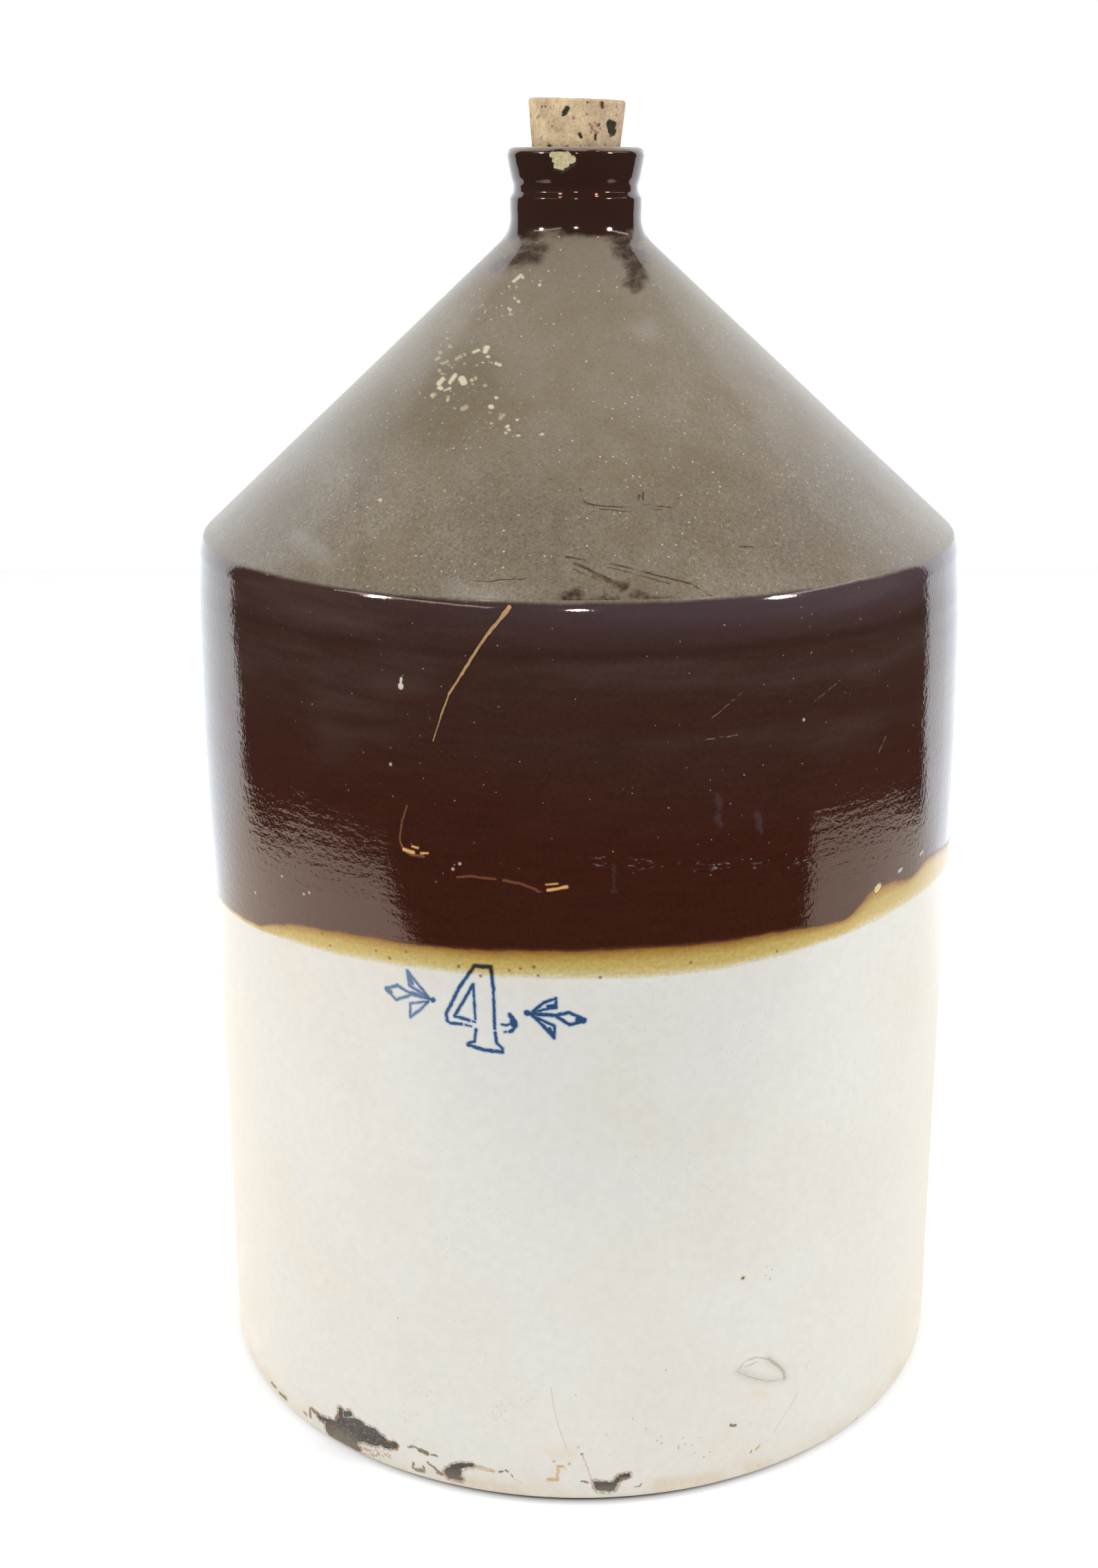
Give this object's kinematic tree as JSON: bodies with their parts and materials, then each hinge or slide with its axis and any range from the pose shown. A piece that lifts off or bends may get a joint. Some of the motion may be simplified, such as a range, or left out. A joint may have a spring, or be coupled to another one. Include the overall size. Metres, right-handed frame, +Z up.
{
  "type": "stoneware jug",
  "caption": "Tall cylindrical stoneware jug with a conical shoulder, short neck, strap handle and a cork in its mouth.",
  "frame": {"origin": "middle of the foot, on the surface that the jug stands on", "axes": "+Z up along the jug's axis, +Y towards the handle, -Y towards the painted number"},
  "size_m": [0.2652, 0.2652, 0.4396],
  "materials": {
    "stoneware": "glossy salt-pale glaze below, dark brown slip glaze above, amber band where they meet, chips at the foot",
    "cork": "dry matte bark cork with dark pores"
  },
  "bodies": {
    "root": {"jug": "stoneware", "cork": "cork"}
  },
  "joints": []
}
